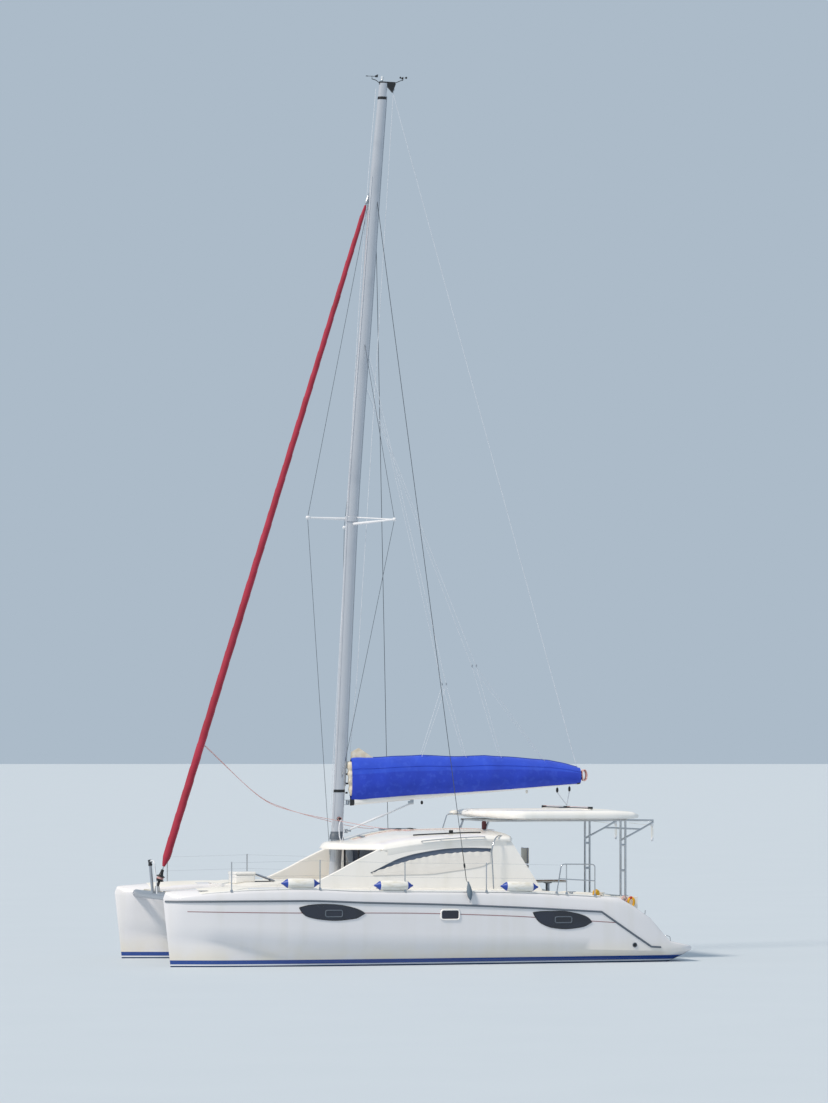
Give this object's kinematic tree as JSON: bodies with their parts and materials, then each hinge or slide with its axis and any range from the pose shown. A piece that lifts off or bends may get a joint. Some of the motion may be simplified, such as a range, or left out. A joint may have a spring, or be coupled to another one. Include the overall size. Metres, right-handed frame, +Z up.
{
  "type": "sailing catamaran",
  "caption": "Cruising catamaran afloat: twin hulls joined by a bridgedeck with saloon, cockpit and hardtop, raked mast with furled headsail and stowed mainsail on a swinging boom.",
  "frame": {"origin": "on the centreline, amidships, in the plane of the waterline", "axes": "+X to the bows, +Y to port, +Z up"},
  "size_m": [11.4787, 6.02, 20.2203],
  "materials": {
    "gelcoat": "glossy white gelcoat",
    "deck": "matt non-skid",
    "antifouling": "matt antifouling paint",
    "aluminium": "satin anodised",
    "stainless": "polished",
    "bronze": "dull bronze",
    "glass": "dark tinted acrylic",
    "canvas": "acrylic canvas",
    "genoa": "acrylic sunstrip",
    "net": "knotless netting",
    "upholstery": "woven upholstery",
    "iron": "painted castings",
    "timber": "varnished",
    "black": "moulded"
  },
  "bodies": {
    "boat": {"hull_port": "gelcoat", "hull_starboard": "gelcoat", "keel_port": "antifouling", "keel_starboard": "antifouling", "bridgedeck": "gelcoat", "saloon_roof": "gelcoat", "saloon_side_port": "gelcoat", "saloon_side_starboard": "gelcoat", "saloon_window_port": "glass", "saloon_window_starboard": "glass", "windscreen": "glass", "aft_bulkhead": "gelcoat", "saloon_settee": "upholstery", "saloon_table": "timber", "galley_counter": "deck", "cockpit_bench": "upholstery", "cockpit_table": "deck", "helm_console": "gelcoat", "helm_seat": "upholstery", "hardtop": "gelcoat", "hardtop_frame": "stainless", "traveller": "black", "crossbeam": "aluminium", "centre_spar": "aluminium", "net_port": "net", "net_starboard": "net", "pulpit": "stainless", "deck_chest": "gelcoat", "guardrail_port": "stainless", "guardrail_starboard": "stainless", "mast": "aluminium", "spreaders": "aluminium", "forestay": "stainless", "furled_genoa": "genoa", "shroud_port": "stainless", "shroud_starboard": "stainless", "engine_port": "iron", "engine_starboard": "iron", "saildrive_port": "aluminium", "saildrive_starboard": "aluminium"},
    "boom_unit": {"boom": "gelcoat", "sail_cover": "canvas", "vang": "aluminium"},
    "rudder_port_body": {"rudder_port": "antifouling"},
    "rudder_starboard_body": {"rudder_starboard": "antifouling"},
    "propeller_port_body": {"propeller_port": "bronze"},
    "propeller_starboard_body": {"propeller_starboard": "bronze"},
    "wheel": {"helm_wheel": "stainless"},
    "door": {"saloon_door": "glass"},
    "lid_port": {"engine_lid_port": "deck"},
    "lid_starboard": {"engine_lid_starboard": "deck"},
    "hatch": {"foredeck_hatch": "glass"},
    "vane": {"wind_vane": "black"},
    "cups": {"anemometer": "black"},
    "ladder": {"boarding_ladder": "stainless"}
  },
  "joints": [
    {"name": "boom_swing", "type": "hinge", "parent": "boat", "child": "boom_unit", "pos_m": [1.105, 0, 3.375], "axis": [-0.0483, 0, 0.9988], "range_deg": [-50, 50]},
    {"name": "rudder_port_turn", "type": "hinge", "parent": "boat", "child": "rudder_port_body", "pos_m": [-4.55, 2.16, -0.6], "axis": [0, 0, 1], "range_deg": [-35, 35]},
    {"name": "rudder_starboard_turn", "type": "hinge", "parent": "boat", "child": "rudder_starboard_body", "pos_m": [-4.55, -2.16, -0.6], "axis": [0, 0, 1], "range_deg": [-35, 35]},
    {"name": "wheel_turn", "type": "hinge", "parent": "boat", "child": "wheel", "pos_m": [-2.56, -1.4, 2.06], "axis": [1, 0, 0], "range_deg": [-300, 300]},
    {"name": "propeller_port_spin", "type": "hinge", "parent": "boat", "child": "propeller_port_body", "pos_m": [-3.55, 2.16, -0.72], "axis": [1, 0, 0], "continuous": true},
    {"name": "propeller_starboard_spin", "type": "hinge", "parent": "boat", "child": "propeller_starboard_body", "pos_m": [-3.55, -2.16, -0.72], "axis": [1, 0, 0], "continuous": true},
    {"name": "door_slide", "type": "slide", "parent": "boat", "child": "door", "axis": [0, -1, 0], "range_m": [0, 0.8]},
    {"name": "lid_port_lift", "type": "hinge", "parent": "boat", "child": "lid_port", "pos_m": [-3.11, 2.16, 1.4988], "axis": [0, 1, 0], "range_deg": [0, 75]},
    {"name": "lid_starboard_lift", "type": "hinge", "parent": "boat", "child": "lid_starboard", "pos_m": [-3.11, -2.16, 1.4988], "axis": [0, 1, 0], "range_deg": [0, 75]},
    {"name": "hatch_lift", "type": "hinge", "parent": "boat", "child": "hatch", "pos_m": [2.79, 0, 1.7041], "axis": [0, -1, 0], "range_deg": [-20, 70]},
    {"name": "vane_spin", "type": "hinge", "parent": "boat", "child": "vane", "pos_m": [0.56, 0, 19.08], "axis": [0, 0, 1], "continuous": true},
    {"name": "cups_spin", "type": "hinge", "parent": "boat", "child": "cups", "pos_m": [-0.14, 0, 19.08], "axis": [0, 0, 1], "continuous": true},
    {"name": "ladder_swing", "type": "hinge", "parent": "boat", "child": "ladder", "pos_m": [-5.743, -2.16, 0.348], "axis": [0, -1, 0], "range_deg": [0, 255]}
  ],
  "couplings": [
    {"joint": "rudder_starboard_turn", "follows": "rudder_port_turn", "ratio": 1},
    {"joint": "wheel_turn", "follows": "rudder_port_turn", "ratio": 8.5}
  ]
}
